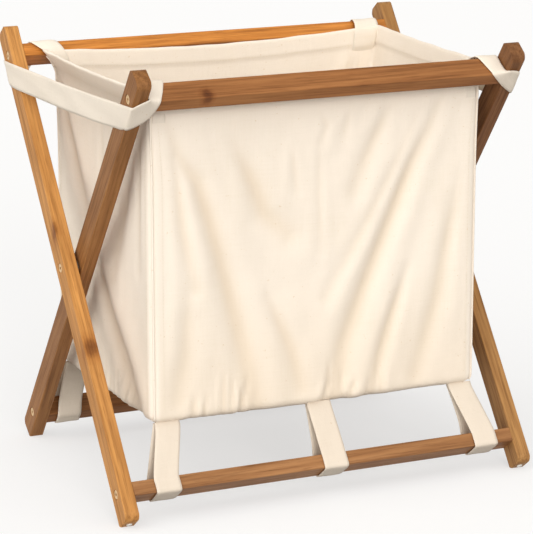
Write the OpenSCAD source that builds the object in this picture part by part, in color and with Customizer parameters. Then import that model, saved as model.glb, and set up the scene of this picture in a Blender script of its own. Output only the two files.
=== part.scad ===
/* [Frame] */
// Overall length along the rails, over the outer legs
frame_length = 612; // [500:1:700]
// Lean of each leg from upright when the frame stands open, in degrees
leg_lean = 37; // [30:0.5:40]
// Distance from the crossing to each rail bolt, along the leg
bolt_reach = 330; // [300:1:360]
// Distance from the crossing to each end of a leg
leg_reach = 372; // [366:1:400]
// Thickness of a leg, along the rails
leg_thick = 20; // [18:0.5:24]
// Depth of a leg, across its length
leg_deep = 33; // [30:0.5:38]
// Gap between an outer leg and the inner leg beside it
leg_gap = 4; // [3:0.5:6]
// Radius of the rounded outer corner at each leg end
end_round = 13; // [6:0.5:15]
// Radius of the other corner at the top end of each leg
top_round = 10; // [4:0.5:15]
// Radius of the small round on the long edges of the timber
edge_round = 1.6; // [1:0.1:2.5]
// How much of the lowest corner of each foot is sawn off level
foot_cut = 3; // [2:0.5:5]

/* [Rails] */
// Thickness of a rail, measured along the legs
rail_thick = 20; // [16:0.5:24]
// Depth of a rail, measured across the legs
rail_deep = 32; // [26:0.5:33]

/* [Hardware] */
// Radius of the flat bolt heads
head_r = 6.7; // [6:0.1:7]
// Thickness of the flat bolt heads
head_h = 2.8; // [2.4:0.1:3]
// Radius of the bolt shanks
shank_r = 3; // [2.5:0.1:3.2]
// Radius of the pivot sleeve that the inner leg turns on
sleeve_r = 4.5; // [4:0.1:5]
// Outer radius of the spacer washer at each crossing
washer_r = 9; // [8:0.5:12]
// Radius of the round glide on each foot
glide_r = 4; // [3:0.5:5]

/* [Bag] */
// Outside length of the bag, along the rails
bag_length = 490; // [440:1:500]
// Outside depth of the bag, front to back
bag_deep = 352; // [330:1:352]
// Height of the underside of the bag above the floor
bag_low = 120; // [110:1:140]
// Height of the hem of the bag above the floor
bag_high = 574; // [540:1:576]
// Thickness of the canvas panels
cloth = 2; // [1.5:0.1:3]
// Thickness of the folded hem
hem_thick = 3; // [2.5:0.1:3.5]
// Height of the folded hem
hem_high = 27; // [20:1:35]
// Radius of the piping down each corner of the bag
piping_r = 1.6; // [1:0.1:2.5]

/* [Webbing] */
// Width of the side straps
strap_wide = 35; // [30:1:40]
// Thickness of the webbing
web = 1.6; // [1.2:0.1:2]
// Width of the loops under the bag
loop_wide = 34; // [28:1:38]
// Clearance between the webbing and the timber
web_clear = 0.6; // [0.4:0.1:1]

/* [Hidden] */
$fn = 64;
half = frame_length / 2;
pivot_z = leg_reach * cos(leg_lean) + leg_deep / 2 * sin(leg_lean) - foot_cut;
rail_y = bolt_reach * sin(leg_lean);
rail_z = bolt_reach * cos(leg_lean);
outer_x = half - leg_thick;
inner_x = outer_x - leg_gap - leg_thick;
bore_deep = head_h + 0.5;
insert_r = 5;
insert_long = 16;
bolt_long = leg_thick - bore_deep + 34;
front_strap_x = inner_x - 3 - strap_wide / 2;
back_strap_x = outer_x - 15 - strap_wide / 2;
loop_x = bag_length / 2 - 4 - loop_wide / 2;
wood_light = [0.74, 0.47, 0.27];
wood_dark = [0.55, 0.35, 0.22];
brass = [0.72, 0.58, 0.36];
canvas = [0.95, 0.90, 0.82];
webbing = [0.94, 0.92, 0.87];

// Turns a child drawn about the crossing, with +Z along the leg, into the outer frame
module on_outer() {
  translate([0, 0, pivot_z])
    rotate([-leg_lean, 0, 0])
      children();
}

// The same for the inner frame, whose legs lean the other way
module on_inner() {
  translate([0, 0, pivot_z])
    rotate([leg_lean, 0, 0])
      children();
}

// Rectangle with rounded corners, centred
module soft_square(a, b, r) {
  square([a - 2 * r, b], center = true);
  square([a, b - 2 * r], center = true);
  for (i = [-1, 1])
    for (j = [-1, 1])
      translate([i * (a / 2 - r), j * (b / 2 - r)])
        circle(r);
}

// What is sawn off one square corner to round it
module corner_waste(r) {
  difference() {
    translate([-r, -r])
      square([r + 1, r + 1]);
    translate([-r, -r])
      circle(r);
  }
}

// Side view of a leg, crossing at the origin
module leg_side() {
  difference() {
    square([leg_deep, 2 * leg_reach], center = true);
    translate([leg_deep / 2, leg_reach])
      corner_waste(end_round);
    translate([-leg_deep / 2, leg_reach])
      mirror([1, 0])
        corner_waste(top_round);
    rotate(180)
      translate([leg_deep / 2, leg_reach])
        corner_waste(end_round);
  }
}

// One leg of the outer frame with its three bores, head side at -X
module leg_blank() {
  intersection() {
    rotate([90, 0, 90])
      linear_extrude(leg_thick + 2, center = true)
        leg_side();
    linear_extrude(2 * leg_reach + 2, center = true)
      soft_square(leg_thick, leg_deep, edge_round);
    rotate([90, 0, 0])
      linear_extrude(leg_deep + 2, center = true)
        soft_square(leg_thick, 2 * leg_reach, edge_round);
  }
}

// Through bore with a counterbore for a flat head
module head_bore(r) {
  rotate([0, 90, 0])
    cylinder(r = r, h = leg_thick + 2, center = true);
  translate([-leg_thick / 2 - 1, 0, 0])
    rotate([0, 90, 0])
      cylinder(r = head_r + 0.3, h = bore_deep + 1);
}

// Everything under the floor line
module under_floor() {
  translate([-half - 10, -500, -100])
    cube([frame_length + 20, 1000, 100]);
}

// s is -1 for the left leg and 1 for the right leg
module outer_leg(s) {
  difference() {
    on_outer()
      translate([s * (half - leg_thick / 2), 0, 0])
        mirror([s > 0 ? 1 : 0, 0, 0])
          difference() {
            leg_blank();
            head_bore(shank_r + 0.1);
            translate([0, 0, bolt_reach])
              head_bore(shank_r + 0.1);
            translate([0, 0, -bolt_reach])
              head_bore(shank_r + 0.1);
          }
    under_floor();
  }
}

module inner_leg(s) {
  difference() {
    on_inner()
      translate([s * (inner_x + leg_thick / 2), 0, 0])
        mirror([s > 0 ? 1 : 0, 0, 0])
          difference() {
            mirror([0, 1, 0])
              leg_blank();
            mirror([1, 0, 0])
              head_bore(sleeve_r + 0.05);
            translate([0, 0, bolt_reach])
              head_bore(shank_r + 0.1);
            translate([0, 0, -bolt_reach])
              head_bore(shank_r + 0.1);
          }
    under_floor();
  }
}

// A rail of the given length, with a blind bore for an insert and bolt at each end
module rail(long) {
  difference() {
    rotate([90, 0, 90])
      linear_extrude(long, center = true)
        soft_square(rail_deep, rail_thick, edge_round);
    for (s = [-1, 1])
      translate([s * (long / 2 + 1), 0, 0])
        rotate([0, -s * 90, 0]) {
          cylinder(r = insert_r, h = insert_long + 1.2);
          cylinder(r = shank_r + 0.2, h = 40);
        }
  }
}

// Flat round bolt head with a hexagon socket, top face at z = 0, shank downwards
module bolt(long) {
  difference() {
    union() {
      translate([0, 0, -head_h])
        cylinder(r = head_r, h = head_h - 0.6);
      translate([0, 0, -0.6])
        cylinder(r1 = head_r, r2 = head_r - 0.6, h = 0.6);
      translate([0, 0, -head_h - long])
        cylinder(r = shank_r, h = long + 0.5);
    }
    translate([0, 0, -2])
      cylinder(r = 2.4, h = 3, $fn = 6);
  }
}

// Bolt through a leg from its outer face at x = face; s is the side
module side_bolt(s, face, z, long) {
  translate([s * (face - 0.5), 0, z])
    rotate([0, s * 90, 0])
      bolt(long);
}

// Threaded insert in the end of a rail
module insert(s, z, x) {
  translate([s * (x - 0.1), 0, z])
    rotate([0, -s * 90, 0])
      difference() {
        cylinder(r = insert_r - 0.03, h = insert_long);
        translate([0, 0, -1])
          cylinder(r = shank_r + 0.03, h = insert_long + 2);
      }
}

module leg_outer_left() {
  color(wood_light)
    outer_leg(-1);
}

module leg_outer_right() {
  color(wood_light)
    outer_leg(1);
}

module leg_inner_left() {
  color(wood_dark)
    inner_leg(-1);
}

module leg_inner_right() {
  color(wood_dark)
    inner_leg(1);
}

module rail_top_back() {
  color(wood_light)
    on_outer()
      translate([0, 0, bolt_reach])
        rail(2 * outer_x);
}

module rail_bottom_front() {
  color(wood_light)
    on_outer()
      translate([0, 0, -bolt_reach])
        rail(2 * outer_x);
}

module rail_top_front() {
  color(wood_dark)
    on_inner()
      translate([0, 0, bolt_reach])
        rail(2 * inner_x);
}

module rail_bottom_back() {
  color(wood_dark)
    on_inner()
      translate([0, 0, -bolt_reach])
        rail(2 * inner_x);
}

module outer_bolt(s, e) {
  color(brass)
    on_outer()
      side_bolt(s, half, e * bolt_reach, bolt_long);
}

module inner_bolt(s, e) {
  color(brass)
    on_inner()
      side_bolt(s, inner_x + leg_thick, e * bolt_reach, bolt_long);
}

module outer_insert(s, e) {
  color(brass)
    on_outer()
      insert(s, e * bolt_reach, outer_x);
}

module inner_insert(s, e) {
  color(brass)
    on_inner()
      insert(s, e * bolt_reach, inner_x);
}

module bolt_outer_left_top() { outer_bolt(-1, 1); }
module bolt_outer_left_bottom() { outer_bolt(-1, -1); }
module bolt_outer_right_top() { outer_bolt(1, 1); }
module bolt_outer_right_bottom() { outer_bolt(1, -1); }
module bolt_inner_left_top() { inner_bolt(-1, 1); }
module bolt_inner_left_bottom() { inner_bolt(-1, -1); }
module bolt_inner_right_top() { inner_bolt(1, 1); }
module bolt_inner_right_bottom() { inner_bolt(1, -1); }
module insert_outer_left_top() { outer_insert(-1, 1); }
module insert_outer_left_bottom() { outer_insert(-1, -1); }
module insert_outer_right_top() { outer_insert(1, 1); }
module insert_outer_right_bottom() { outer_insert(1, -1); }
module insert_inner_left_top() { inner_insert(-1, 1); }
module insert_inner_left_bottom() { inner_insert(-1, -1); }
module insert_inner_right_top() { inner_insert(1, 1); }
module insert_inner_right_bottom() { inner_insert(1, -1); }

// Bolt that holds the two legs together at the crossing, screwed into the sleeve
module pivot_bolt(s) {
  color(brass)
    on_outer()
      side_bolt(s, half, 0, leg_thick + leg_gap + 4);
}

// Flanged sleeve nut that passes through the inner leg from its inner face
module pivot_sleeve(s) {
  color(brass)
    on_outer()
      translate([s * (inner_x + 0.5), 0, 0])
        rotate([0, s * 90, 0])
          difference() {
            union() {
              cylinder(r = head_r, h = head_h);
              cylinder(r = sleeve_r, h = leg_thick - 0.5);
            }
            translate([0, 0, head_h + 0.5])
              cylinder(r = shank_r + 0.03, h = leg_thick);
            translate([0, 0, -1])
              cylinder(r = 2.4, h = 2.8, $fn = 6);
          }
}

module pivot_washer(s) {
  color(brass)
    on_outer()
      translate([s * (outer_x - leg_gap + 0.3), 0, 0])
        rotate([0, s * 90, 0])
          difference() {
            cylinder(r = washer_r, h = leg_gap - 0.3);
            translate([0, 0, -1])
              cylinder(r = shank_r + 0.2, h = leg_gap + 2);
          }
}

module pivot_bolt_left() { pivot_bolt(-1); }
module pivot_bolt_right() { pivot_bolt(1); }
module pivot_sleeve_left() { pivot_sleeve(-1); }
module pivot_sleeve_right() { pivot_sleeve(1); }
module pivot_washer_left() { pivot_washer(-1); }
module pivot_washer_right() { pivot_washer(1); }

// Round glide on the sawn end of a foot, beside the level cut
module glide(x, y) {
  translate([x, y, -leg_reach - 1.2]) {
    cylinder(r1 = glide_r - 0.8, r2 = glide_r, h = 0.8);
    translate([0, 0, 0.8])
      cylinder(r = glide_r, h = 0.4);
  }
}

module glide_outer(s) {
  color(webbing)
    on_outer()
      glide(s * (half - leg_thick / 2), 4);
}

module glide_inner(s) {
  color(webbing)
    on_inner()
      glide(s * (inner_x + leg_thick / 2), -4);
}

module glide_outer_left() { glide_outer(-1); }
module glide_outer_right() { glide_outer(1); }
module glide_inner_left() { glide_inner(-1); }
module glide_inner_right() { glide_inner(1); }

// Upright canvas panel with its thicker folded hem, laid along X
module panel_long(y) {
  translate([-bag_length / 2, y - cloth / 2, bag_low + cloth])
    cube([bag_length, cloth, bag_high - bag_low - cloth - hem_high]);
  translate([-bag_length / 2, y - hem_thick / 2, bag_high - hem_high])
    cube([bag_length, hem_thick, hem_high]);
}

module panel_short(x) {
  deep = bag_deep - 2 * hem_thick;
  translate([x - cloth / 2, -deep / 2, bag_low + cloth])
    cube([cloth, deep, bag_high - bag_low - cloth - hem_high]);
  translate([x - hem_thick / 2, -deep / 2, bag_high - hem_high])
    cube([hem_thick, deep, hem_high]);
}

module panel_front() {
  color(canvas)
    panel_long(-(bag_deep - hem_thick) / 2);
}

module panel_back() {
  color(canvas)
    panel_long((bag_deep - hem_thick) / 2);
}

module panel_left() {
  color(canvas)
    panel_short(-(bag_length - hem_thick) / 2);
}

module panel_right() {
  color(canvas)
    panel_short((bag_length - hem_thick) / 2);
}

module panel_bottom() {
  color(canvas)
    translate([-bag_length / 2, -bag_deep / 2, bag_low])
      cube([bag_length, bag_deep, cloth]);
}

// Piping stands just outside one upright corner of the bag
module piping(sx, sy) {
  out = piping_r * 0.75;
  color(canvas)
    translate([sx * (bag_length / 2 + out), sy * (bag_deep / 2 + out), bag_low])
      cylinder(r = piping_r, h = bag_high - bag_low);
}

module piping_front_left() { piping(-1, -1); }
module piping_front_right() { piping(1, -1); }
module piping_back_left() { piping(-1, 1); }
module piping_back_right() { piping(1, 1); }

// Corner of the outer frame's rail section, seen along X, grown by c.
// i is the side across the leg and j the end along it; e is 1 at the top rail
function rail_corner(i, j, e, c) = [
  e * rail_y + i * (rail_deep / 2 + c) * cos(leg_lean) + j * (rail_thick / 2 + c) * sin(leg_lean),
  pivot_z + e * rail_z - i * (rail_deep / 2 + c) * sin(leg_lean) + j * (rail_thick / 2 + c) * cos(leg_lean)
];

// Outline of a loop that hangs from the front bottom seam and goes round the rail
function loop_outline(c, top) = [
  [-bag_deep / 2 + 1 - c, top],
  rail_corner(-1, 1, -1, c),
  rail_corner(-1, -1, -1, c),
  rail_corner(1, -1, -1, c),
  rail_corner(1, 1, -1, c),
  [-bag_deep / 2 + 3 + c, top]
];

module hanging_loop(x) {
  color(webbing)
    translate([x - loop_wide / 2, 0, 0])
      rotate([90, 0, 90])
        linear_extrude(loop_wide)
          difference() {
            polygon(loop_outline(web_clear + web, bag_low));
            polygon(loop_outline(web_clear, bag_low - 6));
          }
}

module loop_front_left() { hanging_loop(-loop_x); }
module loop_front_middle() { hanging_loop(0); }
module loop_front_right() { hanging_loop(loop_x); }

module loop_back(x) {
  mirror([0, 1, 0])
    hanging_loop(x);
}

module loop_back_left() { loop_back(-loop_x); }
module loop_back_middle() { loop_back(0); }
module loop_back_right() { loop_back(loop_x); }

// Strip over a top rail, from the hem of the bag to behind the rail
function tab_side(c, low) = [
  [bag_deep / 2 - hem_thick - 1 - c, bag_high + 0.5],
  [bag_deep / 2 - hem_thick - 1 - c, bag_high + 1 + c],
  rail_corner(-1, 1, 1, c),
  rail_corner(1, 1, 1, c),
  [rail_corner(1, 1, 1, c)[0], low]
];

module over_rail(x) {
  inner = tab_side(web_clear, pivot_z + 222);
  outer = tab_side(web_clear + web, pivot_z + 222);
  translate([x - strap_wide / 2, 0, 0])
    rotate([90, 0, 90])
      linear_extrude(strap_wide)
        polygon(concat(inner, [for (i = [4:-1:0]) outer[i]]));
}

// Level run of the strap past the outer faces of both legs
module side_run() {
  back = rail_corner(1, 1, 1, web_clear)[0];
  line = [
    [-back_strap_x + strap_wide / 2, back],
    [-half - 0.6, back],
    [-half - 0.6, 150],
    [-inner_x - leg_thick - 0.6, -150],
    [-inner_x - leg_thick - 0.6, -back],
    [-front_strap_x + strap_wide / 2, -back]
  ];
  out = [
    [-back_strap_x + strap_wide / 2, back + web],
    [-half - 0.6 - web, back + web],
    [-half - 0.6 - web, 149.9],
    [-inner_x - leg_thick - 0.6 - web, -150.1],
    [-inner_x - leg_thick - 0.6 - web, -back - web],
    [-front_strap_x + strap_wide / 2, -back - web]
  ];
  translate([0, 0, pivot_z + 222])
    linear_extrude(strap_wide)
      polygon(concat(line, [for (i = [5:-1:0]) out[i]]));
}

module strap() {
  color(webbing) {
    over_rail(-back_strap_x);
    mirror([0, 1, 0])
      over_rail(-front_strap_x);
    side_run();
  }
}

module strap_left() { strap(); }

module strap_right() {
  mirror([1, 0, 0])
    strap();
}

leg_outer_left();
leg_outer_right();
leg_inner_left();
leg_inner_right();
rail_top_back();
rail_bottom_front();
rail_top_front();
rail_bottom_back();
bolt_outer_left_top();
bolt_outer_left_bottom();
bolt_outer_right_top();
bolt_outer_right_bottom();
bolt_inner_left_top();
bolt_inner_left_bottom();
bolt_inner_right_top();
bolt_inner_right_bottom();
insert_outer_left_top();
insert_outer_left_bottom();
insert_outer_right_top();
insert_outer_right_bottom();
insert_inner_left_top();
insert_inner_left_bottom();
insert_inner_right_top();
insert_inner_right_bottom();
pivot_bolt_left();
pivot_bolt_right();
pivot_sleeve_left();
pivot_sleeve_right();
pivot_washer_left();
pivot_washer_right();
glide_outer_left();
glide_outer_right();
glide_inner_left();
glide_inner_right();
panel_front();
panel_back();
panel_left();
panel_right();
panel_bottom();
piping_front_left();
piping_front_right();
piping_back_left();
piping_back_right();
strap_left();
strap_right();
loop_front_left();
loop_front_middle();
loop_front_right();
loop_back_left();
loop_back_middle();
loop_back_right();
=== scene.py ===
import math
import random

import bpy
import numpy as np
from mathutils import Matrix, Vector, noise


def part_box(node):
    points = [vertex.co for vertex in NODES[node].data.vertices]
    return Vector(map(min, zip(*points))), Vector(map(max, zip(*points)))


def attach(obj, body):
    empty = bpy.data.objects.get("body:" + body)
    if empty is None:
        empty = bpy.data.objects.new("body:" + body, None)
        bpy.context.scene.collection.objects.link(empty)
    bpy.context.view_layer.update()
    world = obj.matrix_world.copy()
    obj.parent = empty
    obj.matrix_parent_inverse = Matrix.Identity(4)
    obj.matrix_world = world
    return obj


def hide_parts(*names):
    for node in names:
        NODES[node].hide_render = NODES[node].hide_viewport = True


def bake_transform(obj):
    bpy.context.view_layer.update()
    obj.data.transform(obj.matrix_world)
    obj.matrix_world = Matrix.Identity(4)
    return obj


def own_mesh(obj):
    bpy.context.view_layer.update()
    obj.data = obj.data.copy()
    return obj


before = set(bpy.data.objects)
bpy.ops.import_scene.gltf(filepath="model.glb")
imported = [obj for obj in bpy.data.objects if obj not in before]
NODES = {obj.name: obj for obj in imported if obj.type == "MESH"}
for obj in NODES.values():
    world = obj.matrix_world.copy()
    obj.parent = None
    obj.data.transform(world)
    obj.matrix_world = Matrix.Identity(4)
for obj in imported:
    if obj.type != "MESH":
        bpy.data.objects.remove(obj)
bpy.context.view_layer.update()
MM = 0.001
TINY = 1e-12


def centre(node):
    """Centre of a CAD node's box."""
    lo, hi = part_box(node)
    return (Vector(lo) + Vector(hi)) / 2


PIVOT_Z = centre("pivot_bolt_left").z
TOP_RAIL = centre("rail_top_back")
LEAN = math.atan2(TOP_RAIL.y, TOP_RAIL.z - PIVOT_Z)   # how far each leg leans from upright
SIN, COS = math.sin(LEAN), math.cos(LEAN)


# ---------------------------------------------------------------- node helpers

def new_material(name):
    mat = bpy.data.materials.new(name)
    mat.use_nodes = True
    tree = mat.node_tree
    return mat, tree, tree.nodes["Principled BSDF"]


def add(tree, kind, inputs=None, **props):
    """New shader node; each input is a value, or a socket to link from."""
    node = tree.nodes.new(kind)
    for key, value in props.items():
        setattr(node, key, value)
    for key, value in (inputs or {}).items():
        if isinstance(value, bpy.types.NodeSocket):
            tree.links.new(value, node.inputs[key])
        else:
            node.inputs[key].default_value = value
    return node


def math_node(tree, op, a, b=None, c=None):
    node = tree.nodes.new("ShaderNodeMath")
    node.operation = op
    for i, value in enumerate((a, b, c)):
        if value is None:
            continue
        if isinstance(value, bpy.types.NodeSocket):
            tree.links.new(value, node.inputs[i])
        else:
            node.inputs[i].default_value = value
    return node.outputs[0]


def ramp(tree, fac, stops):
    """Colour ramp; stops are (position, colour)."""
    node = tree.nodes.new("ShaderNodeValToRGB")
    elements = node.color_ramp.elements
    while len(elements) < len(stops):
        elements.new(0.5)
    for element, (pos, colour) in zip(elements, stops):
        element.position = pos
        element.color = (*colour, 1)
    tree.links.new(fac, node.inputs[0])
    return node.outputs[0]


def multiply(tree, fac, a, b):
    """Colour a multiplied by colour b, by the share fac."""
    node = tree.nodes.new("ShaderNodeMix")
    node.data_type = "RGBA"
    node.blend_type = "MULTIPLY"
    sockets = {socket.name: socket for socket in node.inputs if socket.enabled}
    sockets["Factor"].default_value = fac
    tree.links.new(a, sockets["A"])
    tree.links.new(b, sockets["B"])
    return [s for s in node.outputs if s.enabled][0]


def tinted(colour, *by):
    """Colour times one factor, or times one for each channel."""
    return [min(1.0, c * k) for c, k in zip(colour, by * 3 if len(by) == 1 else by)]


def noise_node(tree, vector, scale, detail=4.0, rough=0.55, distort=0.0):
    return add(tree, "ShaderNodeTexNoise", {
        "Vector": vector, "Scale": scale, "Detail": detail, "Roughness": rough, "Distortion": distort,
    })


# ---------------------------------------------------------------- materials

def wood(name, turn, seed, colour, knots=()):
    """Oiled acacia with its grain along Z once the piece is turned upright."""
    mat, tree, shader = new_material(name)
    coord = add(tree, "ShaderNodeTexCoord").outputs["Object"]
    placed = add(tree, "ShaderNodeMapping", {
        "Vector": coord, "Location": (seed * 1.7, seed * 0.9, seed * 2.3), "Rotation": turn,
    }).outputs[0]
    along = add(tree, "ShaderNodeMapping", {"Vector": placed, "Scale": (1, 1, 0.06)}).outputs[0]
    fine = add(tree, "ShaderNodeMapping", {"Vector": placed, "Scale": (1, 1, 0.03)}).outputs[0]
    warp = noise_node(tree, along, 12, 3, 0.5).outputs["Color"]
    bent = add(tree, "ShaderNodeVectorMath", {0: along, 1: add(
        tree, "ShaderNodeVectorMath", {0: warp, 1: (0.03, 0.03, 0.0)}, operation="MULTIPLY").outputs[0]},
        operation="ADD").outputs[0]
    rings = add(tree, "ShaderNodeTexWave", {
        "Vector": bent, "Scale": 42.0, "Distortion": 4.0, "Detail": 3.0, "Detail Scale": 1.4,
        "Detail Roughness": 0.6,
    }, wave_type="BANDS", bands_direction="DIAGONAL").outputs["Fac"]
    broad = noise_node(tree, bent, 30, 4, 0.55, 0.5).outputs["Fac"]
    streak = noise_node(tree, fine, 330, 4, 0.65).outputs["Fac"]
    pores = noise_node(tree, fine, 900, 2, 0.6).outputs["Fac"]
    patch = noise_node(tree, placed, 6.0, 3, 0.5).outputs["Fac"]
    tone = math_node(tree, "ADD", math_node(tree, "MULTIPLY", rings, 0.22),
                     math_node(tree, "MULTIPLY", broad, 0.78))
    base = ramp(tree, tone, [
        (0.24, tinted(colour, 0.74, 0.69, 0.65)), (0.42, tinted(colour, 0.90, 0.87, 0.85)),
        (0.58, tinted(colour, 1.04)), (0.80, tinted(colour, 1.20, 1.26, 1.34)),
    ])
    streaks = ramp(tree, streak, [
        (0.34, (0.68, 0.64, 0.60)), (0.52, (1, 1, 1)), (0.72, (1.10, 1.10, 1.10)),
    ])
    base = multiply(tree, 0.95, base, streaks)
    poring = ramp(tree, pores, [(0.32, (0.55, 0.48, 0.42)), (0.43, (1, 1, 1))])
    base = multiply(tree, 0.55, base, poring)
    patches = ramp(tree, patch, [(0.30, (0.86, 0.83, 0.80)), (0.64, (1.06, 1.05, 1.03))])
    base = multiply(tree, 0.8, base, patches)
    for where, size in knots:
        moved = add(tree, "ShaderNodeVectorMath", {0: coord, 1: where}, operation="SUBTRACT").outputs[0]
        upright = add(tree, "ShaderNodeMapping", {
            "Vector": moved, "Rotation": turn, "Scale": (1, 1, 0.5),
        }).outputs[0]
        jitter = add(tree, "ShaderNodeVectorMath", {
            0: noise_node(tree, coord, 130, 3, 0.6).outputs["Color"], 1: (0.006, 0.006, 0.006),
        }, operation="MULTIPLY_ADD")
        tree.links.new(upright, jitter.inputs[2])
        far = add(tree, "ShaderNodeVectorMath", {0: jitter.outputs[0]}, operation="LENGTH").outputs["Value"]
        eye = ramp(tree, math_node(tree, "DIVIDE", far, size), [
            (0.0, (0.22, 0.13, 0.08)), (0.35, (0.42, 0.30, 0.22)),
            (0.6, (0.82, 0.74, 0.66)), (1.0, (1, 1, 1)),
        ])
        base = multiply(tree, 0.85, base, eye)
    tree.links.new(base, shader.inputs["Base Color"])
    rough = ramp(tree, streak, [(0.3, (0.60,) * 3), (0.7, (0.44,) * 3)])
    tree.links.new(rough, shader.inputs["Roughness"])
    height = math_node(tree, "ADD", math_node(tree, "MULTIPLY", streak, 0.5),
                       math_node(tree, "MULTIPLY", pores, 0.5))
    bump = add(tree, "ShaderNodeBump", {"Strength": 0.3, "Distance": 0.0005, "Height": height})
    tree.links.new(bump.outputs[0], shader.inputs["Normal"])
    shader.inputs["Specular IOR Level"].default_value = 0.18
    return mat


def metal(name, colour, rough, scratch_scale):
    """Worn metal, rougher and darker in its scratches."""
    mat, tree, shader = new_material(name)
    coord = add(tree, "ShaderNodeTexCoord").outputs["Object"]
    wear = noise_node(tree, coord, scratch_scale, 5, 0.65)
    tint = ramp(tree, wear.outputs["Fac"], [
        (0.3, tinted(colour, 0.62)), (0.55, colour), (0.8, tinted(colour, 1.25)),
    ])
    tree.links.new(tint, shader.inputs["Base Color"])
    shader.inputs["Metallic"].default_value = 1.0
    roughness = ramp(tree, wear.outputs["Fac"], [(0.3, (rough + 0.18,) * 3), (0.8, (rough,) * 3)])
    tree.links.new(roughness, shader.inputs["Roughness"])
    bump = add(tree, "ShaderNodeBump", {
        "Strength": 0.25, "Distance": 0.0002, "Height": noise_node(tree, coord, 900, 3).outputs["Fac"],
    })
    tree.links.new(bump.outputs[0], shader.inputs["Normal"])
    return mat


def plastic(name, colour):
    """Moulded nylon with a little grime."""
    mat, tree, shader = new_material(name)
    coord = add(tree, "ShaderNodeTexCoord").outputs["Object"]
    grime = noise_node(tree, coord, 300, 4).outputs["Fac"]
    tint = ramp(tree, grime, [(0.3, tinted(colour, 0.8)), (0.6, colour)])
    tree.links.new(tint, shader.inputs["Base Color"])
    shader.inputs["Roughness"].default_value = 0.45
    bump = add(tree, "ShaderNodeBump", {"Strength": 0.2, "Distance": 0.0002, "Height": grime})
    tree.links.new(bump.outputs[0], shader.inputs["Normal"])
    return mat


def woven(name, colour, shade, thread, twill=0.0, soft=0.0):
    """Woven cotton from UVs in metres: thread is the spacing of the threads."""
    mat, tree, shader = new_material(name)
    uv = add(tree, "ShaderNodeUVMap", uv_map="cloth").outputs[0]
    split = add(tree, "ShaderNodeSeparateXYZ", {"Vector": uv})
    turns = 2 * math.pi / thread
    x, y = split.outputs[0], split.outputs[1]
    slant = math_node(tree, "ADD", x, math_node(tree, "MULTIPLY", y, twill))
    warp = math_node(tree, "SINE", math_node(tree, "MULTIPLY", slant, turns))
    weft = math_node(tree, "SINE", math_node(tree, "MULTIPLY", y, turns))
    weave = math_node(tree, "MULTIPLY_ADD", math_node(tree, "MULTIPLY", warp, weft), 0.5, 0.5)
    long_slub = add(tree, "ShaderNodeMapping", {"Vector": uv, "Scale": (1, 0.05, 1)}).outputs[0]
    cross_slub = add(tree, "ShaderNodeMapping", {"Vector": uv, "Scale": (0.05, 1, 1)}).outputs[0]
    slub_a = noise_node(tree, long_slub, 420, 3, 0.6).outputs["Fac"]
    slub_b = noise_node(tree, cross_slub, 420, 3, 0.6).outputs["Fac"]
    slub = math_node(tree, "MULTIPLY", math_node(tree, "ADD", slub_a, slub_b), 0.5)
    coord = add(tree, "ShaderNodeTexCoord").outputs["Object"]
    cloud = noise_node(tree, coord, 7, 4, 0.55).outputs["Fac"]
    tone = math_node(tree, "ADD", math_node(tree, "MULTIPLY", slub, 0.55),
                     math_node(tree, "MULTIPLY", cloud, 0.45))
    base = ramp(tree, tone, [(0.34, [0.5 * (a + b) for a, b in zip(shade, colour)]), (0.50, colour),
                             (0.66, tinted(colour, 1.02))])
    # Painted shade: the cloth is drawn darker and warmer in its creases and towards the bottom, by the
    # amount stored on the mesh
    painted_shade = add(tree, "ShaderNodeAttribute", attribute_name="painted_shade").outputs["Fac"]
    painted_shade_tint = ramp(tree, painted_shade, [(0.0, (1, 1, 1)), (1.0, (0.90, 0.855, 0.79))])
    base = multiply(tree, 1.0, base, painted_shade_tint)
    gaps = ramp(tree, weave, [(0.0, (0.86, 0.84, 0.80)), (0.35, (1, 1, 1))])
    base = multiply(tree, 0.5, base, gaps)
    fleck = noise_node(tree, coord, 260, 2, 0.5).outputs["Fac"]
    flecks = ramp(tree, fleck, [(0.255, (0.78, 0.66, 0.48)), (0.275, (1, 1, 1))])
    base = multiply(tree, 0.5, base, flecks)
    tree.links.new(base, shader.inputs["Base Color"])
    shader.inputs["Roughness"].default_value = 0.92
    shader.inputs["Specular IOR Level"].default_value = 0.15
    shader.inputs["Sheen Weight"].default_value = 0.12
    shader.inputs["Sheen Roughness"].default_value = 0.5
    crumple = noise_node(tree, coord, 26, 5, 0.6, 0.3).outputs["Fac"]
    fine = add(tree, "ShaderNodeBump", {"Strength": 0.45, "Distance": 0.00035, "Height": weave})
    slubs = add(tree, "ShaderNodeBump", {
        "Strength": 0.35, "Distance": 0.0005, "Height": slub, "Normal": fine.outputs[0],
    })
    bump = add(tree, "ShaderNodeBump", {
        "Strength": 0.25 + soft, "Distance": 0.004, "Height": crumple, "Normal": slubs.outputs[0],
    })
    tree.links.new(bump.outputs[0], shader.inputs["Normal"])
    return mat


TURN_OUTER, TURN_INNER, TURN_RAIL = (LEAN, 0, 0), (-LEAN, 0, 0), (0, math.pi / 2, 0)
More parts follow.
